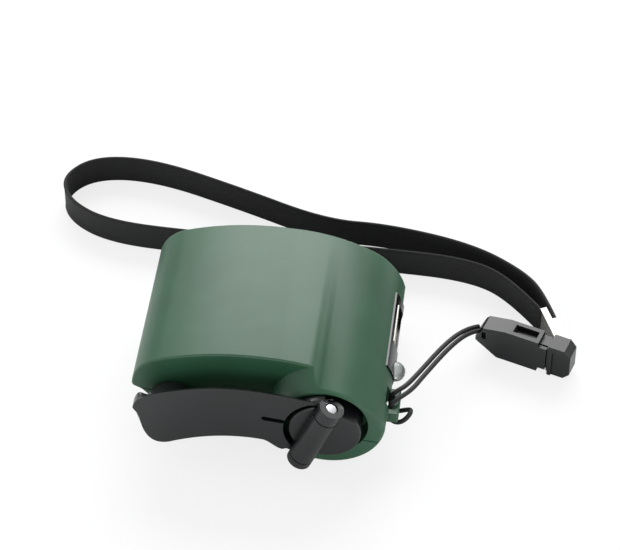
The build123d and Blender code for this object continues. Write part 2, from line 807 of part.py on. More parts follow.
with BuildPart() as knob_screw:
    rod(knob_x, knob_z, 1.1, -7.2, -2.1)
    rod(knob_x, knob_z, 3.0, -2.1, -1.3)
    for half_x, half_z in ((1.5, 0.3), (0.3, 1.5)):
        block(
            (knob_x - half_x, knob_x + half_x),
            (-1.7, 0.0),
            (knob_z - half_z, knob_z + half_z),
            mode=Mode.SUBTRACT,
        )
finish(knob_screw.part, "knob_screw")


# ---------------------------------------------------------------- lanyard

def bend_radii(points):
    """Radius at each bend, from the shorter run beside it and how far it turns."""
    radii = []
    for before, bend, after in zip(points, points[1:], points[2:]):
        run_in = bend - before
        run_out = after - bend
        half_turn = radians(run_in.get_angle(run_out)) / 2
        radii.append(0.45 * min(run_in.length, run_out.length) / tan(half_turn))
    return radii


lean = Vector(cos(radians(buckle_lean)), sin(radians(buckle_lean)), 0)
buckle_front = Vector(lean.Y, -lean.X, 0)
buckle_centre = place(42.5, 36.0, rest_level)


def buckle_plane(toward_front):
    """Plane along the buckle as it stands on edge; own x runs along it, own y is up."""
    return Plane(
        origin=buckle_centre + buckle_front * toward_front, x_dir=lean, z_dir=buckle_front
    )


def filled(points):
    """Closed straight-sided outline."""
    with BuildSketch() as face:
        with BuildLine():
            Polyline(*points, close=True)
        make_face()
    return face.sketch


def buckle_slab(points, half_thickness, mode=Mode.ADD):
    """Extrude an outline given along the buckle and up, to both sides of its middle."""
    with BuildSketch(buckle_plane(-half_thickness)) as section:
        add(filled(points))
    extrude(section.sketch, amount=2 * half_thickness, mode=mode)


mouth = 10.2
half_thick = buckle_thickness / 2

with BuildPart() as buckle_socket:
    buckle_slab(
        [
            (-9.2, 4.4),
            (-2.9, 0.0),
            (8.0, 0.0),
            (8.0, 1.4),
            (mouth, 1.4),
            (mouth, 8.8),
            (8.0, 8.8),
            (8.0, buckle_height),
            (-1.0, buckle_height),
            (-7.4, 8.9),
        ],
        half_thick,
    )
    chamfer(buckle_socket.faces().sort_by(Axis(buckle_centre, lean))[0].edges(), 0.5)
    for opening in (
        [(-3.0, 0.95), (11.0, 0.95), (11.0, 9.25), (-3.0, 9.25)],
        [(0.2, -1.0), (7.0, -1.0), (7.0, 2.0), (2.2, 2.0)],
        [(0.2, 11.0), (7.0, 11.0), (7.0, 8.0), (2.2, 8.0)],
    ):
        buckle_slab(opening, 1.3, mode=Mode.SUBTRACT)
    cord_hole = [(-7.2, 5.2), (-6.0, 5.2), (-6.0, 7.6), (-7.2, 7.6)]
    buckle_slab(cord_hole, 4.0, mode=Mode.SUBTRACT)
finish(buckle_socket.part, "buckle_socket")

with BuildPart() as buckle_prongs:
    buckle_slab(
        [
            (mouth + 0.6, 0.0),
            (15.0, 0.0),
            (16.6, 1.8),
            (16.6, 8.2),
            (15.0, buckle_height),
            (mouth + 0.6, buckle_height),
        ],
        half_thick,
    )
    shoulder = [(mouth + 0.2, 1.0), (mouth + 0.7, 1.0), (mouth + 0.7, 9.2), (mouth + 0.2, 9.2)]
    buckle_slab(shoulder, half_thick - 0.3)
    prong_root = mouth + 1.0
    for low, high in ((1.05, 2.6), (7.6, 9.15)):
        prong = [(-1.6, low + 0.4), (0.6, low), (prong_root, low), (prong_root, high)]
        buckle_slab([*prong, (-1.6, high - 0.4)], 1.2)
    buckle_slab([(1.0, 4.4), (prong_root, 4.4), (prong_root, 5.8), (1.0, 5.8)], 0.8)
    with BuildSketch(buckle_plane(half_thick)) as step:
        add(filled([(mouth + 1.6, -1.0), (17.0, -1.0), (17.0, 8.4), (mouth + 1.6, 8.4)]))
    extrude(step.sketch, amount=-0.5, mode=Mode.SUBTRACT)
finish(buckle_prongs.part, "buckle_prongs")

buckle_back = buckle_centre - buckle_front * half_thick
crimp_ends = [
    (place(53.0, 42.1, rest_level), buckle_back + lean * 14.4),
    (place(49.9, 45.3, rest_level), buckle_back + lean * 12.0),
]
ribbon_low = 0.1
ribbon_grip = 2.6

with BuildPart() as ribbon_crimps:
    for start, end in crimp_ends:
        run = end - start
        with BuildSketch(Plane(origin=start, x_dir=(0, 0, 1), z_dir=run)) as section:
            with Locations((ribbon_low + ribbon_width / 2, 0)):
                Rectangle(ribbon_width + 0.1, 1.7)
        extrude(section.sketch, amount=run.length + 1.2)
    with BuildSketch(buckle_plane(-half_thick)) as base_side:
        add(filled([(5.0, -1.0), (22.0, -1.0), (22.0, 12.0), (5.0, 12.0)]))
    extrude(base_side.sketch, amount=6.0, mode=Mode.SUBTRACT)

ribbon_points = [
    (50.0, 50.2),
    (44.5, 57.6),
    (30.5, 66.0),
    (8.0, 70.6),
    (-9.0, 70.4),
    (-33.0, 79.6),
    (-57.0, 87.6),
    (-73.5, 87.0),
    (-81.0, 78.5),
    (-77.5, 69.5),
    (-66.0, 63.2),
    (-45.0, 61.8),
    (8.0, 61.6),
    (30.0, 60.6),
    (41.5, 54.6),
]
ribbon_start = crimp_ends[0][0]
ribbon_end = crimp_ends[1][0]
first_grip = (crimp_ends[0][1] - ribbon_start).normalized() * ribbon_grip
last_grip = (crimp_ends[1][1] - ribbon_end).normalized() * ribbon_grip
ribbon_route = [
    ribbon_start + first_grip,
    *(place(x, depth, rest_level) for x, depth in ribbon_points),
    ribbon_end + last_grip,
]

with BuildPart() as lanyard_ribbon:
    with BuildLine() as ribbon_line:
        FilletPolyline(*ribbon_route, radius=bend_radii(ribbon_route))
    ribbon_path = ribbon_line.line
    start_plane = Plane(origin=ribbon_path @ 0, x_dir=(0, 0, 1), z_dir=ribbon_path % 0)
    with BuildSketch(start_plane) as weave:
        with Locations((ribbon_low + ribbon_width / 2, 0)):
            Rectangle(ribbon_width, ribbon_thickness)
    sweep(weave.sketch, path=ribbon_path)
finish(lanyard_ribbon.part, "lanyard_ribbon")

with BuildPart() as slotted_crimps:
    add(ribbon_crimps.part)
    add(lanyard_ribbon.part, mode=Mode.SUBTRACT)
finish(slotted_crimps.part, "ribbon_crimps")

cord_points = [
    (34.0, 38.9, -8.3),
    (31.0, 36.9, -7.2),
    (26.2, 28.6, -4.6),
    (20.6, 15.5, -2.0),
    (18.2, 9.8, -0.5),
    (15.9, 7.3, -0.2),
    (14.55, 7.05, -1.8),
    (14.55, 7.0, -5.6),
    (16.2, 6.6, -6.9),
    (18.6, 6.2, -5.4),
    (20.0, 4.6, -3.4),
    (19.4, 2.4, -3.6),
    (17.6, 2.3, -5.9),
    (15.6, 3.2, -6.9),
    (14.55, 3.6, -5.4),
    (14.55, 3.7, -1.6),
    (16.2, 4.6, -0.2),
    (19.6, 8.6, -0.6),
    (22.0, 14.9, -2.0),
    (27.6, 28.0, -4.6),
    (32.2, 36.0, -7.2),
    (34.6, 37.5, -8.3),
]
cord_route = [place(x, depth, z) for x, depth, z in cord_points]

with BuildPart() as lanyard_cord:
    with BuildLine() as cord_line:
        FilletPolyline(*cord_route, radius=bend_radii(cord_route))
    cord_path = cord_line.line
    with BuildSketch(Plane(origin=cord_path @ 0, z_dir=cord_path % 0)) as strand:
        Circle(cord_radius)
    sweep(strand.sketch, path=cord_path)
    add(buckle_socket.part, mode=Mode.SUBTRACT)
finish(lanyard_cord.part, "lanyard_cord")
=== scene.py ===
import bpy
import bmesh
import json
from math import radians, cos, sin, pi
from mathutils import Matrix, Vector


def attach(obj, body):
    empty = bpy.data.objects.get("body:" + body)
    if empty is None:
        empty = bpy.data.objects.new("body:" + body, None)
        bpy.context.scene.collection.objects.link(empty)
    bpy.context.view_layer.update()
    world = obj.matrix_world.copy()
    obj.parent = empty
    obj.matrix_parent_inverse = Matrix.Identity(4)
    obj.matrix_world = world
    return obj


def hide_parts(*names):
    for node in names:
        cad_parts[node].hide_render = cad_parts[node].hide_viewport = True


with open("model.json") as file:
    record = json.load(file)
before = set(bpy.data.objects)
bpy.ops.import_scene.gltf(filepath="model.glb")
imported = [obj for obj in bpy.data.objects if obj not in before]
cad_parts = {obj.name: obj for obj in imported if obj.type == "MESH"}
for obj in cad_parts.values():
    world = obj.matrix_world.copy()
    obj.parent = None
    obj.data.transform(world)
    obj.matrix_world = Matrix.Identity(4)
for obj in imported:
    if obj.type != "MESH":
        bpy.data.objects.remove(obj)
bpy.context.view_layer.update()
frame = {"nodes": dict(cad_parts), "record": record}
nodes = frame["nodes"]
print("frame loaded", len(nodes), "nodes")

mm = 0.001
hub = Vector((15.55, -16.2, 14.6)) * mm  # the crank's axis on the crank face
restHeight = -14.6  # the surface that the charger lies on, from the hub


def fromHub(x, depth, z):
    return hub + Vector((x, depth, z)) * mm


def addObject(name, data):
    made = bpy.data.objects.new(name, data)
    bpy.context.scene.collection.objects.link(made)
    return made


# colours are written as sRGB hex and turned linear here
def linear(hexColour):
    channels = [int(hexColour[i:i + 2], 16) / 255 for i in (1, 3, 5)]
    values = (c / 12.92 if c <= 0.04045 else ((c + 0.055) / 1.055) ** 2.4 for c in channels)
    return tuple(values) + (1.0,)


# a material or world starts with no nodes of its own
def emptyTree(owner):
    owner.use_nodes = True
    owner.node_tree.nodes.clear()
    return owner.node_tree


def addNode(tree, kind, settings=None, inputs=None, links=None):
    node = tree.nodes.new(kind)
    for name, value in (settings or {}).items():
        setattr(node, name, value)
    for name, value in (inputs or {}).items():
        node.inputs[name].default_value = value
    for name, source in (links or {}).items():
        tree.links.new(source, node.inputs[name])
    return node


def addRamp(tree, source, places, colours):
    ramp = addNode(tree, "ShaderNodeValToRGB", links={"Fac": source})
    for element, place, colour in zip(ramp.color_ramp.elements, places, colours):
        element.position = place
        element.color = linear(colour)
    return ramp


# lengths in mm: cloud is the size of the tint's patches, grain and depth are those of the fine bump
usualLook = {"cloud": 12, "grain": 0.35, "bump": 0.1, "depth": 0.02, "roughSpread": 0.05,
             "metal": 0.0, "coat": 0.0, "coatRough": 0.2, "clear": 0.0}


# one material: a base colour broken up by a broad noise, and a fine noise for roughness and bump
def makeMaterial(name, given):
    look = {**usualLook, **given}
    material = bpy.data.materials.new(name)
    tree = emptyTree(material)
    place = addNode(tree, "ShaderNodeTexCoord").outputs["Object"]
    broad = addNode(tree, "ShaderNodeTexNoise", links={"Vector": place},
                    inputs={"Scale": 1 / (look["cloud"] * mm), "Detail": 2.0})
    fine = addNode(tree, "ShaderNodeTexNoise", links={"Vector": place},
                   inputs={"Scale": 1 / (look["grain"] * mm), "Detail": 3.0})
    tint = addRamp(tree, broad.outputs["Fac"], (0.3, 0.7), (look["dark"], look["light"]))
    rough = addNode(tree, "ShaderNodeMapRange", links={"Value": fine.outputs["Fac"]},
                    inputs={"To Min": look["rough"] - look["roughSpread"],
                            "To Max": look["rough"] + look["roughSpread"]})
    bump = addNode(tree, "ShaderNodeBump", links={"Height": fine.outputs["Fac"]},
                   inputs={"Strength": look["bump"], "Distance": look["depth"] * mm})
    shader = addNode(tree, "ShaderNodeBsdfPrincipled",
                     inputs={"Metallic": look["metal"], "Coat Weight": look["coat"],
                             "Coat Roughness": look["coatRough"], "Transmission Weight": look["clear"]},
                     links={"Base Color": tint.outputs["Color"], "Roughness": rough.outputs["Result"],
                            "Normal": bump.outputs["Normal"]})
    if "ior" in look:
        shader.inputs["IOR"].default_value = look["ior"]
    addNode(tree, "ShaderNodeOutputMaterial", links={"Surface": shader.outputs["BSDF"]})
    return material


looks = {
    # moulded ABS in dark green, satin from a lightly etched mould: wide soft highlights
    "mouldedAbsGreen": {"dark": "#234c34", "light": "#28543a", "rough": 0.46, "grain": 0.3, "bump": 0.1,
                        "depth": 0.01, "ior": 1.5, "coat": 0.12, "coatRough": 0.4},
    # moulded black ABS, satin: a grey sheen on the faces that look up
    "mouldedAbsBlack": {"dark": "#0f1012", "light": "#151619", "rough": 0.34, "grain": 0.3, "bump": 0.12,
                        "depth": 0.01, "ior": 1.54},
    # polished black ABS of the end panel: near black with sharper reflections than the crank's
    "panelAbs": {"dark": "#0c0d0e", "light": "#111213", "rough": 0.18, "grain": 0.25, "bump": 0.2,
                 "depth": 0.015, "ior": 1.54},
    # acetal of the buckle: smooth black with a slight shine
    "buckleAcetal": {"dark": "#0f1012", "light": "#151618", "rough": 0.36, "grain": 0.4, "bump": 0.08,
                     "depth": 0.01, "ior": 1.48},
    # ground steel pins: bright and even
    "groundSteel": {"dark": "#b9bbbd", "light": "#d2d4d5", "rough": 0.22, "grain": 0.1, "bump": 0.06,
                    "depth": 0.005, "metal": 1.0},
    # zinc plate on the screws and the generator's can: cool silver, a little dull
    "zincPlate": {"dark": "#9fa3a6", "light": "#b9bcbe", "rough": 0.32, "grain": 0.2, "bump": 0.08,
                  "depth": 0.006, "metal": 1.0},
    # nickel plated sheet of the socket and the ribbon's clamps: warm grey, clear reflections
    "nickelSheet": {"dark": "#73726e", "light": "#8a8984", "rough": 0.28, "grain": 0.25, "bump": 0.08,
                    "depth": 0.006, "metal": 1.0},
    # turned brass: yellow with a soft gleam
    "brassTurned": {"dark": "#b08d45", "light": "#c4a055", "rough": 0.3, "grain": 0.15, "bump": 0.06,
                    "depth": 0.005, "metal": 1.0},
    # sintered bronze of the bush: brown and grainy
    "sinteredBronze": {"dark": "#7d5b34", "light": "#8f6b40", "rough": 0.45, "grain": 0.12, "bump": 0.3,
                       "depth": 0.02, "metal": 1.0},
    # enamelled copper wire: orange brown under a clear film
    "enamelledCopper": {"dark": "#9a4a20", "light": "#b4602d", "rough": 0.3, "grain": 0.2, "bump": 0.2,
                        "depth": 0.02, "metal": 1.0},
    # natural acetal of the gears: off white, slightly waxy
    "naturalAcetal": {"dark": "#dcdad0", "light": "#e6e4db", "rough": 0.42, "grain": 0.3, "bump": 0.08,
                      "depth": 0.01},
    # filled nylon of the gear plates: dull dark grey
    "plateNylon": {"dark": "#303134", "light": "#393a3d", "rough": 0.5, "grain": 0.25, "bump": 0.15,
                   "depth": 0.015},
    # ivory thermoplastic of the tongue and the brush cap: plain and matt
    "ivoryInsulator": {"dark": "#d9d6c9", "light": "#e4e1d5", "rough": 0.45, "grain": 0.3, "bump": 0.1,
                       "depth": 0.01},
    # solder mask on the board: deep green with a wet shine
    "solderMask": {"dark": "#0d3d22", "light": "#124a2a", "rough": 0.3, "grain": 0.5, "bump": 0.08,
                   "depth": 0.01},
    # moulded epoxy of the chips: matt black, faintly rough
    "epoxyBlack": {"dark": "#161617", "light": "#1d1d1e", "rough": 0.48, "grain": 0.2, "bump": 0.2,
                   "depth": 0.015},
    # sintered ferrite: dull charcoal grey
    "ferriteGrey": {"dark": "#2c2c2e", "light": "#37373a", "rough": 0.55, "grain": 0.2, "bump": 0.25,
                    "depth": 0.02},
    # silicon steel of the armature's stack: dim grey metal
    "siliconSteel": {"dark": "#55585b", "light": "#686b6e", "rough": 0.4, "grain": 0.35, "bump": 0.2,
                     "depth": 0.02, "metal": 1.0},
    # PVC sleeve of the generator's leads: plain red
    "redSleeve": {"dark": "#8e1713", "light": "#a01c17", "rough": 0.4, "grain": 0.3, "bump": 0.1,
                  "depth": 0.01},
    # clear cast epoxy of the lamp: see-through with a bright spot
    "clearEpoxy": {"dark": "#eef2f3", "light": "#f6f9fa", "rough": 0.06, "roughSpread": 0.02, "bump": 0.02,
                   "depth": 0.002, "clear": 0.92, "ior": 1.5},
}
materials = {name: makeMaterial(name, look) for name, look in looks.items()}
print("materials made", len(materials))


# a woven black yarn: picks along the piece and warps around it, from its own UV in millimetres
def makeTape(name, tape):
    material = bpy.data.materials.new(name)
    tree = emptyTree(material)
    uv = addNode(tree, "ShaderNodeUVMap", {"uv_map": "tapeMm"}).outputs["UV"]
    parts = addNode(tree, "ShaderNodeSeparateXYZ", links={"Vector": uv})
    waves = []
    for axis, spacing in (("X", tape["pick"]), ("Y", tape["warp"])):
        turn = addNode(tree, "ShaderNodeMath", {"operation": "MULTIPLY"}, {1: 2 * pi / spacing},
                       {0: parts.outputs[axis]})
        waves.append(addNode(tree, "ShaderNodeMath", {"operation": "SINE"}, links={0: turn.outputs[0]}))
    weave = addNode(tree, "ShaderNodeMath", {"operation": "MULTIPLY"},
                    links={0: waves[0].outputs[0], 1: waves[1].outputs[0]})
    height = addNode(tree, "ShaderNodeMapRange", inputs={"From Min": -1.0, "From Max": 1.0},
                     links={"Value": weave.outputs[0]})
    fuzz = addNode(tree, "ShaderNodeTexNoise", inputs={"Scale": 3.0, "Detail": 4.0},
                   links={"Vector": uv})
    both = addNode(tree, "ShaderNodeMix", {"data_type": "FLOAT"}, {0: tape["fuzz"]},
                   {2: height.outputs["Result"], 3: fuzz.outputs["Fac"]})
    tint = addRamp(tree, both.outputs[0], (0.25, 0.8), (tape["dark"], tape["light"]))
    bump = addNode(tree, "ShaderNodeBump", links={"Height": both.outputs[0]},
                   inputs={"Strength": tape["bump"], "Distance": tape["depth"] * mm})
    shader = addNode(tree, "ShaderNodeBsdfPrincipled",
                     inputs={"Roughness": tape["rough"], "Sheen Weight": tape["sheen"],
                             "Sheen Roughness": 0.5},
                     links={"Base Color": tint.outputs["Color"], "Normal": bump.outputs["Normal"]})
    addNode(tree, "ShaderNodeOutputMaterial", links={"Surface": shader.outputs["BSDF"]})
    return material


# polyester tape, matt black, its picks drawn a little coarser than real ones so that they show
tapeWeave = makeTape("polyesterTape", {"pick": 0.9, "warp": 0.8, "fuzz": 0.35, "dark": "#070708",
                                       "light": "#141516", "bump": 0.5, "depth": 0.08, "rough": 0.8,
                                       "sheen": 0.03})
# braided nylon, black with a duller shine along the strands
cordWeave = makeTape("braidedNylon", {"pick": 1.1, "warp": 0.9, "fuzz": 0.25, "dark": "#070708",
                                      "light": "#151618", "bump": 0.5, "depth": 0.08, "rough": 0.6,
                                      "sheen": 0.03})


# camera at the photograph's viewpoint
view = {"place": fromHub(46.83, -418.03, 481.8), "azimuth": 7.0, "elevation": 46.0,
        "focalPixels": 2628, "photoWidth": 620, "sensor": 36, "clipStart": 0.01}
cameraData = bpy.data.cameras.new("viewCamera")
cameraData.lens = view["focalPixels"] * view["sensor"] / view["photoWidth"]
cameraData.sensor_width = view["sensor"]
cameraData.clip_start = view["clipStart"]
camera = addObject("viewCamera", cameraData)
camera.location = view["place"]
camera.rotation_euler = (radians(90 - view["elevation"]), 0, radians(view["azimuth"]))
bpy.context.scene.camera = camera
print("camera placed")


# points of a smooth NURBS line along the route, whose points are those of the part's own route
def linePoints(name, route):
    curve = bpy.data.curves.new(name, "CURVE")
    curve.dimensions = "3D"
    curve.resolution_u = 10
    spline = curve.splines.new("NURBS")
    spline.points.add(len(route) - 1)
    for point, place in zip(spline.points, route):
        point.co = (*place, 1)
    spline.order_u = 3
    spline.use_endpoint_u = True
    line = addObject(name, curve)
    bpy.context.view_layer.update()
    mesh = bpy.data.meshes.new_from_object(line)
    points = [vertex.co.copy() for vertex in mesh.vertices]
    bpy.data.meshes.remove(mesh)
    bpy.data.objects.remove(line)
    return points


def lineLength(points):
    return sum((b - a).length for a, b in zip(points, points[1:]))


# a tube or strip along the points: one closed section carried on from point to point
def alongLine(name, points, section, material):
    build = bmesh.new()
    uvLayer = build.loops.layers.uv.new("tapeMm")
    up = Vector((0, 0, 1))
    rings, travelled = [], [0.0]
    for before, after in zip(points, points[1:]):
        travelled.append(travelled[-1] + (after - before).length)
    across = points[1] - points[0]
    across = across.orthogonal()
    for index, point in enumerate(points):
        ahead = points[min(index + 1, len(points) - 1)] - points[max(index - 1, 0)]
        ahead.normalize()
        if section["upright"]:
            side = ahead.cross(up).normalized()
            rise = side.cross(ahead).normalized()
        else:
            across = (across - ahead * across.dot(ahead)).normalized()
            side, rise = across, ahead.cross(across).normalized()
        rings.append([build.verts.new(point + side * a * mm + rise * b * mm)
                      for a, b in section["points"]])
    count = len(section["points"])
    for index in range(len(rings) - 1):
        for k in range(count):
            face = build.faces.new((rings[index][k], rings[index][(k + 1) % count],
                                    rings[index + 1][(k + 1) % count], rings[index + 1][k]))
            face.smooth = True
            corners = ((index, k), (index, k + 1), (index + 1, k + 1), (index + 1, k))
            for loop, (step, turn) in zip(face.loops, corners):
                loop[uvLayer].uv = (travelled[step] / mm, section["around"][turn])
    for end in (rings[0][::-1], rings[-1]):
        build.faces.new(end).smooth = section["smoothEnds"]
    bmesh.ops.recalc_face_normals(build, faces=build.faces)
    mesh = bpy.data.meshes.new(name)
    build.to_mesh(mesh)
    build.free()
    mesh.materials.append(material)
    return addObject(name, mesh)


# the lanyard's ribbon stands on its edge behind the charger, both ends in metal clamps
buckleAlong = Vector((cos(radians(-18)), sin(radians(-18)), 0))
buckleFront = Vector((buckleAlong.y, -buckleAlong.x, 0))
buckleCentre = fromHub(42.5, 36.0, restHeight)
ribbon = {"width": 8.4, "thick": 0.9, "low": 0.1, "edgeRound": 0.3, "edgeFlat": 0.2, "selvedge": 0.9,
          "dip": 0.12, "grip": 2.6, "clampBehind": 2.4,
          "start": (53.0, 42.1), "startClamp": 14.4, "end": (49.9, 45.3), "endClamp": 12.0,
          "route": [(50.0, 50.2), (44.5, 57.6), (30.5, 66.0), (8.0, 70.6), (-9.0, 70.4), (-33.0, 79.6),
                    (-57.0, 87.6), (-73.5, 87.0), (-81.0, 78.5), (-77.5, 69.5), (-66.0, 63.2),
                    (-45.0, 61.8), (8.0, 61.6), (30.0, 60.6), (41.5, 54.6)]}


# where the ribbon leaves a clamp: a grip's length from its end, towards the clamp
def gripPoint(place, clampAlong):
    end = fromHub(*place, restHeight)
    clamp = buckleCentre + (buckleAlong * clampAlong - buckleFront * ribbon["clampBehind"]) * mm
    return end + (clamp - end).normalized() * ribbon["grip"] * mm


ribbonMiddle = Vector((0, 0, (ribbon["low"] + ribbon["width"] / 2) * mm))
ribbonRoute = [gripPoint(ribbon["start"], ribbon["startClamp"])]
ribbonRoute += [fromHub(x, depth, restHeight) for x, depth in ribbon["route"]]
ribbonRoute += [gripPoint(ribbon["end"], ribbon["endClamp"])]
ribbonPoints = linePoints("ribbonLine", [point + ribbonMiddle for point in ribbonRoute])
halfThick, halfWide = ribbon["thick"] / 2, ribbon["width"] / 2
roundWide, innerWide = halfWide - ribbon["edgeRound"], halfWide - ribbon["selvedge"]
flat, thin = ribbon["edgeFlat"], halfThick - ribbon["dip"]
ribbonOutline = [(-halfThick, -roundWide), (-flat, -halfWide), (flat, -halfWide), (halfThick, -roundWide),
                 (thin, -innerWide), (thin, innerWide), (halfThick, roundWide), (flat, halfWide),
                 (-flat, halfWide), (-halfThick, roundWide), (-thin, innerWide), (-thin, -innerWide)]
ribbonSection = {"upright": True, "smoothEnds": True, "points": ribbonOutline,
                 "around": [b + halfWide for a, b in ribbonOutline + ribbonOutline[:1]]}
ribbonPiece = alongLine("lanyardRibbon", ribbonPoints, ribbonSection, tapeWeave)
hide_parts("lanyard_ribbon")
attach(ribbonPiece, "buckle_tail")
print("ribbon length mm", round(lineLength(ribbonPoints) / mm, 1))

# the cord: two strands from the buckle, tied round the moulded bar
cord = {"radius": 0.6, "sides": 12,
        "route": [(34.0, 38.9, -8.3), (31.0, 36.9, -7.2), (26.2, 28.6, -4.6), (20.6, 15.5, -2.0),
                  (18.2, 9.8, -0.5), (15.9, 7.3, -0.2), (14.55, 7.05, -1.8), (14.55, 7.0, -5.6),
                  (16.2, 6.6, -6.9), (18.6, 6.2, -5.4), (20.0, 4.6, -3.4), (19.4, 2.4, -3.6),
                  (17.6, 2.3, -5.9), (15.6, 3.2, -6.9), (14.55, 3.6, -5.4), (14.55, 3.7, -1.6),
                  (16.2, 4.6, -0.2), (19.6, 8.6, -0.6), (22.0, 14.9, -2.0), (27.6, 28.0, -4.6),
                  (32.2, 36.0, -7.2), (34.6, 37.5, -8.3)]}
cordPoints = linePoints("cordLine", [fromHub(*point) for point in cord["route"]])
cordTurns = [2 * pi * k / cord["sides"] for k in range(cord["sides"] + 1)]
cordSection = {"upright": False, "smoothEnds": False,
               "points": [(cord["radius"] * cos(turn), cord["radius"] * sin(turn))
                          for turn in cordTurns[:-1]],
               "around": [cord["radius"] * turn for turn in cordTurns]}
cordPiece = alongLine("lanyardCord", cordPoints, cordSection, cordWeave)
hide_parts("lanyard_cord")
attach(cordPiece, "housing")
print("cord length mm", round(lineLength(cordPoints) / mm, 1))


# a merged copy of a solid's mesh, smooth across its curved faces and sharp at its edges
def smoothPiece(node, name, body, material, reshape, angle):
    mesh = nodes[node].data.copy()
    build = bmesh.new()
    build.from_mesh(mesh)
    bmesh.ops.remove_doubles(build, verts=build.verts, dist=0.002 * mm)
    if reshape:
        reshape(build)
    for face in build.faces:
        face.smooth = True
    for edge in build.edges:
        edge.smooth = len(edge.link_faces) == 2 and edge.calc_face_angle(0) < radians(angle)
    build.to_mesh(mesh)
    build.free()
    mesh.materials.clear()
    mesh.materials.append(material)
    piece = addObject(name, mesh)
    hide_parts(node)
    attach(piece, body)
    return piece


# rises smoothly from 0 at start to 1 at end
def easeStep(start, end, value):
    share = min(max((value - start) / (end - start), 0), 1)
    return share * share * (3 - 2 * share)


# the crank drum is rounded off over its top, from the housing's front edge to the lip
drum = {"bore": 10.6, "radius": 14.4, "margin": 0.3, "height": 5.2, "taper": 3.3, "crown": (0.1, 0.85),
        "frontFrom": 0.01}


def shapeDrum(build):
    for vertex in build.verts:
        out = vertex.co - hub
        ahead = -out.y / mm
        radius = Vector((out.x, 0, out.z)).length / mm
        if ahead > drum["frontFrom"] and drum["bore"] < radius < drum["radius"] + drum["margin"]:
            share = (radius - drum["bore"]) / (drum["radius"] - drum["bore"])
            share *= easeStep(*drum["crown"], out.z / mm / radius) * min(ahead / drum["height"], 1)
            narrowed = 1 - drum["taper"] * share / radius
            vertex.co = hub + Vector((out.x * narrowed, out.y, out.z * narrowed))


# the crank's hinge barrel has short outer knuckles
hinge = {"angle": 68.0, "offset": 2.2, "ahead": -9.5, "radius": 4.2, "top": 7.0, "topShare": 0.72,
         "foot": -8.85, "footShare": 0.6}
hingeAlong = Vector((cos(radians(hinge["angle"])), 0, sin(radians(hinge["angle"]))))
hingeAcross = Vector((hingeAlong.z, 0, -hingeAlong.x))
hingeFoot = fromHub(0, hinge["ahead"], 0) - hingeAcross * hinge["offset"] * mm


def shapeHinge(build):
    for vertex in build.verts:
        out = (vertex.co - hingeFoot) / mm
        t = out.dot(hingeAlong)
        if (out - hingeAlong * t).length > hinge["radius"]:
            continue
        if t > hinge["top"]:
            vertex.co -= hingeAlong * (t - hinge["top"]) * (1 - hinge["topShare"]) * mm
        elif t < hinge["foot"]:
            vertex.co += hingeAlong * (hinge["foot"] - t) * (1 - hinge["footShare"]) * mm


# the arm has a slanted lower side, a rounded end and a top side that leans in behind
arm = {"front": -8.2, "thick": 2.7, "slack": 0.01, "rightEnd": 6.0, "spineEnd": -41.0, "spineHeight": 2.0,
       "slant": 1.7, "slantAlong": (-11, -15), "slantHeights": (3.2, -1.0),
       "lean": 2.5, "leanHeights": (4.5, 7), "leanDistances": (10.2, 11.2), "leanAlong": (-46.5, -42.5),
       "clear": 9.5, "cornerX": -47.6, "cornerZ": 2.8, "cornerReach": 3.2, "cornerCut": 0.8}


def shapeArm(build):
    shapeHinge(build)
    for vertex in build.verts:
        out = (vertex.co - hub) / mm
        behind = (out.y - arm["front"]) / arm["thick"]
        if out.x > arm["rightEnd"] or not -arm["slack"] <= behind <= 1 + arm["slack"]:
            continue
        flatOut = Vector((out.x, 0, out.z))
        inward = (Vector((max(out.x, arm["spineEnd"]), 0, arm["spineHeight"])) - flatOut).normalized()
        fromCorner = (flatOut - Vector((arm["cornerX"], 0, arm["cornerZ"]))).length
        if fromCorner < arm["cornerReach"]:
            vertex.co += inward * arm["cornerCut"] * (1 - fromCorner / arm["cornerReach"]) * mm
        slant = easeStep(*arm["slantAlong"], out.x) * easeStep(*arm["slantHeights"], out.z)
        vertex.co += inward * arm["slant"] * (1 - behind) * slant * mm
        leaning = easeStep(*arm["leanHeights"], out.z) * easeStep(*arm["leanDistances"], flatOut.length)
        leaning *= arm["lean"] * behind * easeStep(*arm["leanAlong"], out.x)
        clearHeight = max(arm["clear"] ** 2 - out.x ** 2, 0) ** 0.5
        vertex.co.z -= min(leaning, max(out.z - clearHeight, 0)) * mm


# the socket's mouth sits back in the panel's window
socket = {"mouth": 13.9}


def shapeSocket(build):
    for vertex in build.verts:
        vertex.co.x = min(vertex.co.x, hub.x + socket["mouth"] * mm)


shaped = {"upper_shell": shapeDrum, "lower_shell": shapeDrum, "crank_arm": shapeArm,
          "hinge_pin": shapeHinge, "usb_socket": shapeSocket}
behaviour = frame["record"]["behaviour"]
bodyOf = {node: body for body, names in behaviour["bodies"].items() for node in names}
dressed = {
    "upper_shell": ("upperShell", "mouldedAbsGreen"), "lower_shell": ("lowerShell", "mouldedAbsGreen"),
    "end_panel": ("endPanel", "panelAbs"), "led": ("lampLens", "clearEpoxy"),
    "crank_hub": ("crankHub", "mouldedAbsBlack"), "crank_arm": ("crankArm", "mouldedAbsBlack"),
    "knob": ("crankKnob", "mouldedAbsBlack"), "hinge_pin": ("hingePin", "groundSteel"),
    "knob_screw": ("knobScrew", "zincPlate"), "housing_screws": ("housingScrews", "zincPlate"),
    "usb_socket": ("socketShell", "nickelSheet"), "buckle_socket": ("buckleSocket", "buckleAcetal"),
    "buckle_prongs": ("buckleProngs", "buckleAcetal"), "ribbon_crimps": ("ribbonClamps", "nickelSheet"),
}
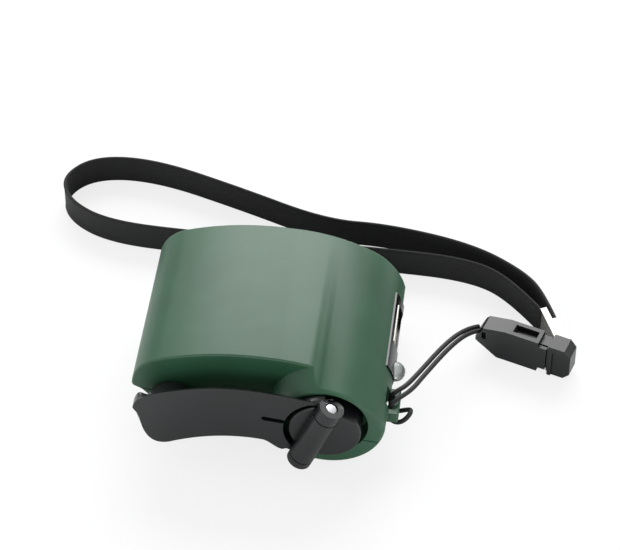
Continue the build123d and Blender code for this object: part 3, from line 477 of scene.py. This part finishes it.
# edges that turn by more than this are sharp; the green shells' rims turn in smaller steps
sharpAngle = {"mouldedAbsGreen": 14}
for node, (name, look) in dressed.items():
    angle = sharpAngle.get(look, 28)
    smoothPiece(node, name, bodyOf[node], materials[look],
                               shaped.get(node), angle)

inside = {
    "usb_tongue": "ivoryInsulator", "usb_contacts": "brassTurned", "led_leads": "zincPlate",
    "circuit_board": "solderMask", "capacitor": "epoxyBlack", "inductor": "ferriteGrey",
    "regulator_chip": "epoxyBlack", "rectifier_diodes": "epoxyBlack", "hub_bush": "sinteredBronze",
    "shaft_screw": "zincPlate", "drive_gear": "naturalAcetal", "second_gear": "naturalAcetal",
    "third_gear": "naturalAcetal", "rotor_pinion": "brassTurned", "second_axle": "groundSteel",
    "third_axle": "groundSteel", "front_gear_plate": "plateNylon", "rear_gear_plate": "plateNylon",
    "plate_pillars": "brassTurned", "plate_screws": "zincPlate", "generator_can": "zincPlate",
    "field_magnets": "ferriteGrey", "armature_core": "siliconSteel", "armature_coils": "enamelledCopper",
    "rotor_shaft": "groundSteel", "commutator": "enamelledCopper", "brush_cap": "ivoryInsulator",
    "brush_terminals": "brassTurned", "generator_leads": "redSleeve",
}
for node, look in inside.items():
    nodes[node].data.materials.clear()
    nodes[node].data.materials.append(materials[look])
print("inner solids finished", len(inside))

# floor and world: a white sweep, of which the camera sees a faint shadow on white
stageLook = {"floorSize": 3.0, "paper": (0.9, 0.92, 0.91, 1), "glowShare": 0.78, "ambient": 0.46}
pureWhite = (1, 1, 1, 1)
floorMesh = bpy.data.meshes.new("floor")
floorBuild = bmesh.new()
bmesh.ops.create_grid(floorBuild, x_segments=1, y_segments=1, size=stageLook["floorSize"])
floorBuild.to_mesh(floorMesh)
floorBuild.free()
floor = addObject("floor", floorMesh)
floorMaterial = bpy.data.materials.new("floorPaper")
floorTree = emptyTree(floorMaterial)
paper = addNode(floorTree, "ShaderNodeBsdfDiffuse", inputs={"Color": stageLook["paper"]})
glow = addNode(floorTree, "ShaderNodeEmission", inputs={"Color": pureWhite, "Strength": 1.0})
floorRays = addNode(floorTree, "ShaderNodeLightPath")
blank = addNode(floorTree, "ShaderNodeMath", {"operation": "MULTIPLY"}, {1: stageLook["glowShare"]},
                {0: floorRays.outputs["Is Camera Ray"]})
floorMix = addNode(floorTree, "ShaderNodeMixShader",
                   links={0: blank.outputs[0], 1: paper.outputs["BSDF"], 2: glow.outputs["Emission"]})
addNode(floorTree, "ShaderNodeOutputMaterial", links={"Surface": floorMix.outputs["Shader"]})
floorMesh.materials.append(floorMaterial)

world = bpy.data.worlds.new("studio")
bpy.context.scene.world = world
worldTree = emptyTree(world)
rays = addNode(worldTree, "ShaderNodeLightPath")
seen = addNode(worldTree, "ShaderNodeMath", {"operation": "MAXIMUM"},
               links={0: rays.outputs["Is Camera Ray"], 1: rays.outputs["Is Transmission Ray"]})
ambient = addNode(worldTree, "ShaderNodeBackground",
                  inputs={"Color": pureWhite, "Strength": stageLook["ambient"]})
white = addNode(worldTree, "ShaderNodeBackground", inputs={"Color": pureWhite, "Strength": 1.0})
mixed = addNode(worldTree, "ShaderNodeMixShader",
                links={0: seen.outputs[0], 1: ambient.outputs[0], 2: white.outputs[0]})
addNode(worldTree, "ShaderNodeOutputWorld", links={"Surface": mixed.outputs[0]})

# four soft boxes, all aimed at the middle of the charger; the one behind is the main light
lamps = {
    "backBox": {"place": (0.0, 0.72, 0.6), "size": (0.9, 0.5), "power": 9.5},
    "leftBox": {"place": (-0.8, 0.1, 0.5), "size": (0.4, 0.6), "power": 1.5},
    "frontBox": {"place": (-0.15, -0.9, 0.3), "size": (0.9, 0.4), "power": 3.2},
    "rightBox": {"place": (0.8, -0.2, 0.25), "size": (0.5, 0.4), "power": 1.2},
}
middle = fromHub(-10, 25, 0)
for name, lamp in lamps.items():
    lampData = bpy.data.lights.new(name, "AREA")
    lampData.shape = "RECTANGLE"
    lampData.size, lampData.size_y = lamp["size"]
    lampData.energy = lamp["power"]
    box = addObject(name, lampData)
    box.location = lamp["place"]
    box.rotation_euler = (middle - Vector(lamp["place"])).to_track_quat("-Z", "Y").to_euler()
bpy.context.scene.view_settings.view_transform = "Standard"
print("lights set")
